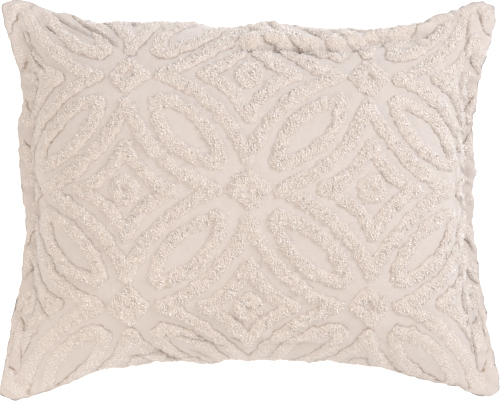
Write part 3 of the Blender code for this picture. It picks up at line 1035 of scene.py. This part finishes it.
def make_curls(face, rows):
    """All curls of pile, joined into a few pieces."""
    p, q = curl_places(rows)
    points, shade = curl_points(face, p, q, rows)
    cell_shapes = curl_cells()
    size = points.shape[1]
    rise = np.repeat([ring[0] for ring in CURL_RINGS], CURL_SIDES).tolist() + [1.0]
    order = np.argsort(p, kind="stable")
    pieces = []
    for number, group in enumerate(np.array_split(order, CURL_PIECES), 1):
        cells = []
        for start in range(0, len(group) * size, size):
            cells.extend([start + corner for corner in shape] for shape in cell_shapes)
        piece = new_object(f"chenille_pile_{number}", points[group].reshape(-1, 3), cells)
        add_value(piece, "shade", np.repeat(shade[group], size))
        add_value(piece, "rise", np.tile(rise, len(group)))
        pieces.append(piece)
    return pieces


def new_material(name, colour, roughness, sheen):
    """A soft cotton material and its nodes, with the shader's constant values on its sockets."""
    material = bpy.data.materials.new(name)
    material.use_nodes = True
    material.diffuse_color = (*colour, 1)
    shader = material.node_tree.nodes["Principled BSDF"]
    shader.inputs["Base Color"].default_value = (*colour, 1)
    shader.inputs["Roughness"].default_value = roughness
    shader.inputs["Specular IOR Level"].default_value = 0.15
    shader.inputs["Sheen Weight"].default_value = sheen
    shader.inputs["Sheen Roughness"].default_value = 0.5
    return material, material.node_tree, shader


def add_node(tree, kind, **values):
    """A new node with some of its settings."""
    node = tree.nodes.new(kind)
    for name, value in values.items():
        setattr(node, name, value)
    return node


def add_noise(tree, vector, scale, detail):
    """The value of a noise texture."""
    node = add_node(tree, "ShaderNodeTexNoise")
    node.inputs["Scale"].default_value = scale
    node.inputs["Detail"].default_value = detail
    tree.links.new(vector, node.inputs["Vector"])
    return node.outputs["Fac"]


def mix_colours(tree, share, low, high):
    """A colour between two, each of them a colour or another node's output."""
    node = add_node(tree, "ShaderNodeMix", data_type="RGBA")
    for socket, colour in ((node.inputs[6], low), (node.inputs[7], high)):
        if isinstance(colour, tuple):
            socket.default_value = (*colour, 1)
        else:
            tree.links.new(colour, socket)
    tree.links.new(share, node.inputs[0])
    return node.outputs[2]


def spread_values(tree, value, from_low, from_high, to_low=0.0, to_high=1.0):
    """A value carried from one range to another."""
    node = add_node(tree, "ShaderNodeMapRange")
    tree.links.new(value, node.inputs["Value"])
    names = ("From Min", "From Max", "To Min", "To Max")
    for name, number in zip(names, (from_low, from_high, to_low, to_high)):
        node.inputs[name].default_value = number
    return node.outputs["Result"]


def join_values(tree, operation, first, second):
    """What an operation makes of two values, each a number or another node's output."""
    node = add_node(tree, "ShaderNodeMath", operation=operation)
    for socket, value in zip(node.inputs, (first, second)):
        if isinstance(value, float):
            socket.default_value = value
        else:
            tree.links.new(value, socket)
    return node.outputs[0]


def thin_line(tree, distance, middle, strength):
    """How strongly a thin line shows where a distance is near its middle value."""
    over = join_values(tree, "SUBTRACT", distance, middle)
    under = join_values(tree, "SUBTRACT", 0.0, over)
    size = join_values(tree, "MAXIMUM", over, under)
    line = spread_values(tree, size, LINE_HALF_WIDTH, LINE_FADE * LINE_HALF_WIDTH, 1.0, 0.0)
    return join_values(tree, "MULTIPLY", line, strength)


def cloth_material():
    """Plain cotton weave, turning on the bed under the pile to a painted shade: the pile's yarn
    colour, darkened where shadow falls among the curls.
    """
    material, tree, shader = new_material("cotton_cloth", GROUND_COLOUR, *CLOTH_FINISH)
    flat = add_node(tree, "ShaderNodeUVMap", uv_map="flat_panel").outputs["UV"]
    pile, foot, shown, floor, gap = (
        add_node(tree, "ShaderNodeAttribute", attribute_name=name).outputs["Fac"]
        for name in COVER_VALUES
    )
    patches = spread_values(tree, add_noise(tree, flat, *PATCH_NOISE), *PATCH_RANGE)
    ground = mix_colours(tree, patches, GROUND_SHADE, GROUND_COLOUR)
    flecks = spread_values(tree, add_noise(tree, flat, *FLECK_NOISE), *FLECK_RANGE)
    ground = mix_colours(tree, flecks, ground, GROUND_FLECK)
    # painted shade on the bed under the pile, as the pile stands higher
    colour = mix_colours(tree, spread_values(tree, pile, *BED_RANGE), ground, PILE_PAINTED_SHADE)

    # Thin broken lines of painted shade, at the open feet of rows and in the crevices, where shadow
    # falls.
    broken = spread_values(tree, add_noise(tree, flat, *BREAK_NOISE), *BREAK_RANGE)
    in_crevice = spread_values(tree, floor, *CREVICE_RANGE)
    for distance, middle, strength in ((foot, FOOT_LINE_OUT, shown), (gap, 0.0, in_crevice)):
        strength = join_values(tree, "MULTIPLY", strength, broken)
        line = thin_line(tree, distance, middle, strength)
        colour = mix_colours(tree, line, colour, CREVICE_PAINTED_SHADE)
    tree.links.new(colour, shader.inputs["Base Color"])

    threads = []
    for direction in ("X", "Y"):
        wave = add_node(tree, "ShaderNodeTexWave", wave_type="BANDS", bands_direction=direction)
        wave.inputs["Scale"].default_value = WEAVE_SCALE
        wave.inputs["Distortion"].default_value = WEAVE_DISTORTION
        tree.links.new(flat, wave.inputs["Vector"])
        threads.append(wave.outputs["Fac"])
    weave = join_values(tree, "MULTIPLY", *threads)
    slub = join_values(tree, "ADD", weave, add_noise(tree, flat, *SLUB_NOISE))
    bump = add_node(tree, "ShaderNodeBump")
    bump.inputs["Strength"].default_value = WEAVE_BUMP
    bump.inputs["Distance"].default_value = WEAVE_DEPTH
    tree.links.new(slub, bump.inputs["Height"])
    tree.links.new(bump.outputs["Normal"], shader.inputs["Normal"])
    return material


def pile_material():
    """Cotton chenille: each curl a little lighter or darker, and darker towards its foot with
    painted shade, where shadow falls among the curls.
    """
    material, tree, shader = new_material("cotton_pile", PILE_COLOUR, *PILE_FINISH)
    shade, rise = (
        add_node(tree, "ShaderNodeAttribute", attribute_name=name).outputs["Fac"]
        for name in ("shade", "rise")
    )
    yarn = mix_colours(tree, spread_values(tree, shade, *SHADE_RANGE), PILE_DARK, PILE_COLOUR)
    # painted shade towards each curl's foot
    colour = mix_colours(tree, spread_values(tree, rise, *RISE_RANGE), PILE_PAINTED_SHADE, yarn)
    tree.links.new(colour, shader.inputs["Base Color"])
    return material


def put_on(material, *pieces):
    """Gives some pieces a material."""
    for piece in pieces:
        piece.data.materials.append(material)


def add_floor():
    """The plain pale floor, with a little light of its own."""
    half = FLOOR_SIZE / 2
    corners = [(-half, -half, 0), (half, -half, 0), (half, half, 0), (-half, half, 0)]
    floor = new_object("floor", np.array(corners), [[0, 1, 2, 3]])
    material, _, shader = new_material("floor_white", FLOOR_COLOUR, *FLOOR_FINISH)
    shader.inputs["Emission Color"].default_value = (1, 1, 1, 1)
    shader.inputs["Emission Strength"].default_value = FLOOR_GLOW
    floor.data.materials.append(material)


def add_light(name, place, size, power, colour):
    """A square soft light that faces the pillow."""
    lamp = bpy.data.lights.new(name, "AREA")
    lamp.size = size
    lamp.energy = power
    lamp.color = colour
    made = bpy.data.objects.new(name, lamp)
    made.location = place
    way = Vector(LIGHT_AIM) - Vector(place)
    made.rotation_euler = way.to_track_quat("-Z", "Y").to_euler()
    bpy.context.scene.collection.objects.link(made)


def add_sun():
    """The broad soft light from behind the camera, which reaches the floor evenly."""
    lamp = bpy.data.lights.new("front_light", "SUN")
    lamp.energy = SUN_STRENGTH
    lamp.angle = SUN_ANGLE
    made = bpy.data.objects.new("front_light", lamp)
    made.rotation_euler = (-Vector(SUN_FROM)).to_track_quat("-Z", "Y").to_euler()
    bpy.context.scene.collection.objects.link(made)


def add_world():
    """Plain white light from all round."""
    world = bpy.data.worlds.new("soft_studio")
    world.use_nodes = True
    background = world.node_tree.nodes["Background"]
    background.inputs["Color"].default_value = (*WORLD_COLOUR, 1)
    background.inputs["Strength"].default_value = WORLD_STRENGTH
    bpy.context.scene.world = world


def add_camera():
    """The photo's own view: from straight above, with the pillow's top edge at the top."""
    data = bpy.data.cameras.new("camera")
    data.sensor_width = SENSOR
    data.lens = SENSOR * CAMERA_DISTANCE / (PHOTO_WIDTH * METRES_PER_PIXEL)
    data.clip_end = 50
    camera = bpy.data.objects.new("camera", data)
    camera.location = (
        (PHOTO_WIDTH / 2 - PHOTO_MIDDLE[0]) * METRES_PER_PIXEL,
        (PHOTO_MIDDLE[1] - PHOTO_HEIGHT / 2) * METRES_PER_PIXEL,
        SEAM_HEIGHT + CAMERA_DISTANCE,
    )
    bpy.context.scene.collection.objects.link(camera)
    bpy.context.scene.camera = camera


def settle(face, back):
    """Lets both panels settle as one skin over the filling, and keeps the folds it makes."""
    seam = on_border(face.p.shape)
    numbers = np.arange(face.p.size).reshape(face.p.shape)
    back_numbers = numbers.copy()
    back_numbers[~seam] = face.p.size + np.arange((~seam).sum())
    start = np.concatenate([face.places.reshape(-1, 3), back.places[~seam]])
    flat = np.stack([face.p, face.q, np.zeros_like(face.p)], axis=-1)
    flat = np.concatenate([flat.reshape(-1, 3), flat[~seam]])
    cells = np.concatenate([grid_cells(numbers), grid_cells(back_numbers)[:, ::-1]])
    trial = new_object("cloth_trial", start, cells.tolist())
    trial.shape_key_add(name="filled")
    flat_key = trial.shape_key_add(name="flat")
    flat_key.data.foreach_set("co", flat.astype(np.float32).ravel())
    cloth = trial.modifiers.new("cloth", "CLOTH")
    settings = cloth.settings
    settings.quality = CLOTH_QUALITY
    settings.mass = CLOTH_MASS
    settings.tension_stiffness = CLOTH_STIFFNESS
    settings.compression_stiffness = CLOTH_STIFFNESS
    settings.shear_stiffness = CLOTH_SHEAR
    settings.bending_stiffness = CLOTH_BENDING
    settings.rest_shape_key = flat_key
    settings.use_pressure = True
    settings.uniform_pressure_force = CLOTH_PRESSURE
    settings.effector_weights.gravity = 0
    cloth.collision_settings.use_collision = False
    for number in range(1, CLOTH_FRAMES + 1):
        bpy.context.scene.frame_set(number)
    settled = trial.evaluated_get(bpy.context.evaluated_depsgraph_get()).data
    end = np.zeros(3 * len(start), np.float32)
    settled.vertices.foreach_get("co", end)
    bpy.context.scene.frame_set(1)
    bpy.data.objects.remove(trial)
    moved = end.reshape(-1, 3) - start

    # Along each side only what changes from place to place along that side is kept.
    reach = SETTLE_SIZE / COARSE_STEP
    near_side = (np.abs(face.p) / HALF_WIDTH) ** SIDE_POWER + SIDE_LEAST
    near_end = (np.abs(face.q) / HALF_HEIGHT) ** SIDE_POWER + SIDE_LEAST
    share = (near_side / (near_side + near_end))[..., None]
    ways = []
    for way in (moved[numbers], moved[back_numbers]):
        folds_p = way - smoothed(way, reach, 0)
        folds_q = way - smoothed(way, reach, 1)
        way = share * folds_q + (1 - share) * folds_p
        size = np.linalg.norm(way, axis=-1, keepdims=True)
        ways.append(way * np.minimum(1, SETTLE_CAP / np.maximum(size, 1e-9)))

    # On the flat rims both panels move as one, and the back keeps clear of the floor.
    together = (ways[0] + ways[1]) / 2
    apart = np.clip(seam_distance(face.p, face.q) / RIM_TOGETHER, 0, 1)[..., None] ** 2
    for panel, way in zip((face, back), ways):
        off_floor = np.clip(panel.places[..., 2:] / FLOOR_CLEAR, 0, 1)
        panel.places = panel.places + off_floor * (together + apart * (way - together))


def grid_cells(numbers):
    """The four-cornered cells of a grid of numbered points."""
    corners = (numbers[:-1, :-1], numbers[1:, :-1], numbers[1:, 1:], numbers[:-1, 1:])
    return np.stack([corner.ravel() for corner in corners], axis=-1)


def smoothed(values, reach, axis):
    """A grid of values blurred over a number of cells, along one axis."""
    steps = np.arange(-math.ceil(2 * reach), math.ceil(2 * reach) + 1)
    weights = np.exp(-((steps / reach) ** 2))
    weights = weights / weights.sum()
    margin = [(0, 0)] * values.ndim
    margin[axis] = (len(steps) // 2, len(steps) // 2)
    padded = np.pad(values, margin, mode="edge")
    length = values.shape[axis]
    parts = [
        weight * np.take(padded, np.arange(step, step + length), axis)
        for step, weight in enumerate(weights)
    ]
    return np.sum(parts, axis=0)


def raise_folds(face):
    """Pushes the coarse face in and out along its folds."""
    _, _, _, out = face.frame_at(face.p, face.q)
    face.places = face.places + crease_lift(face.p, face.q, FOLDS)[0][..., None] * out


def main():
    rows = pattern_rows()
    face = Panel(face_surface)
    back = Panel(back_surface)
    settle(face, back)
    raise_folds(face)
    cover = make_cover(face, back, rows)
    curls = make_curls(face, rows)
    put_on(cloth_material(), cover)
    put_on(pile_material(), *curls)
    for piece in (cover, *curls):
        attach(piece, "root")
    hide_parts(NODE)
    add_floor()
    add_world()
    add_sun()
    for light in LIGHTS:
        add_light(*light)
    add_camera()
    bpy.context.scene.view_settings.view_transform = "Standard"


main()
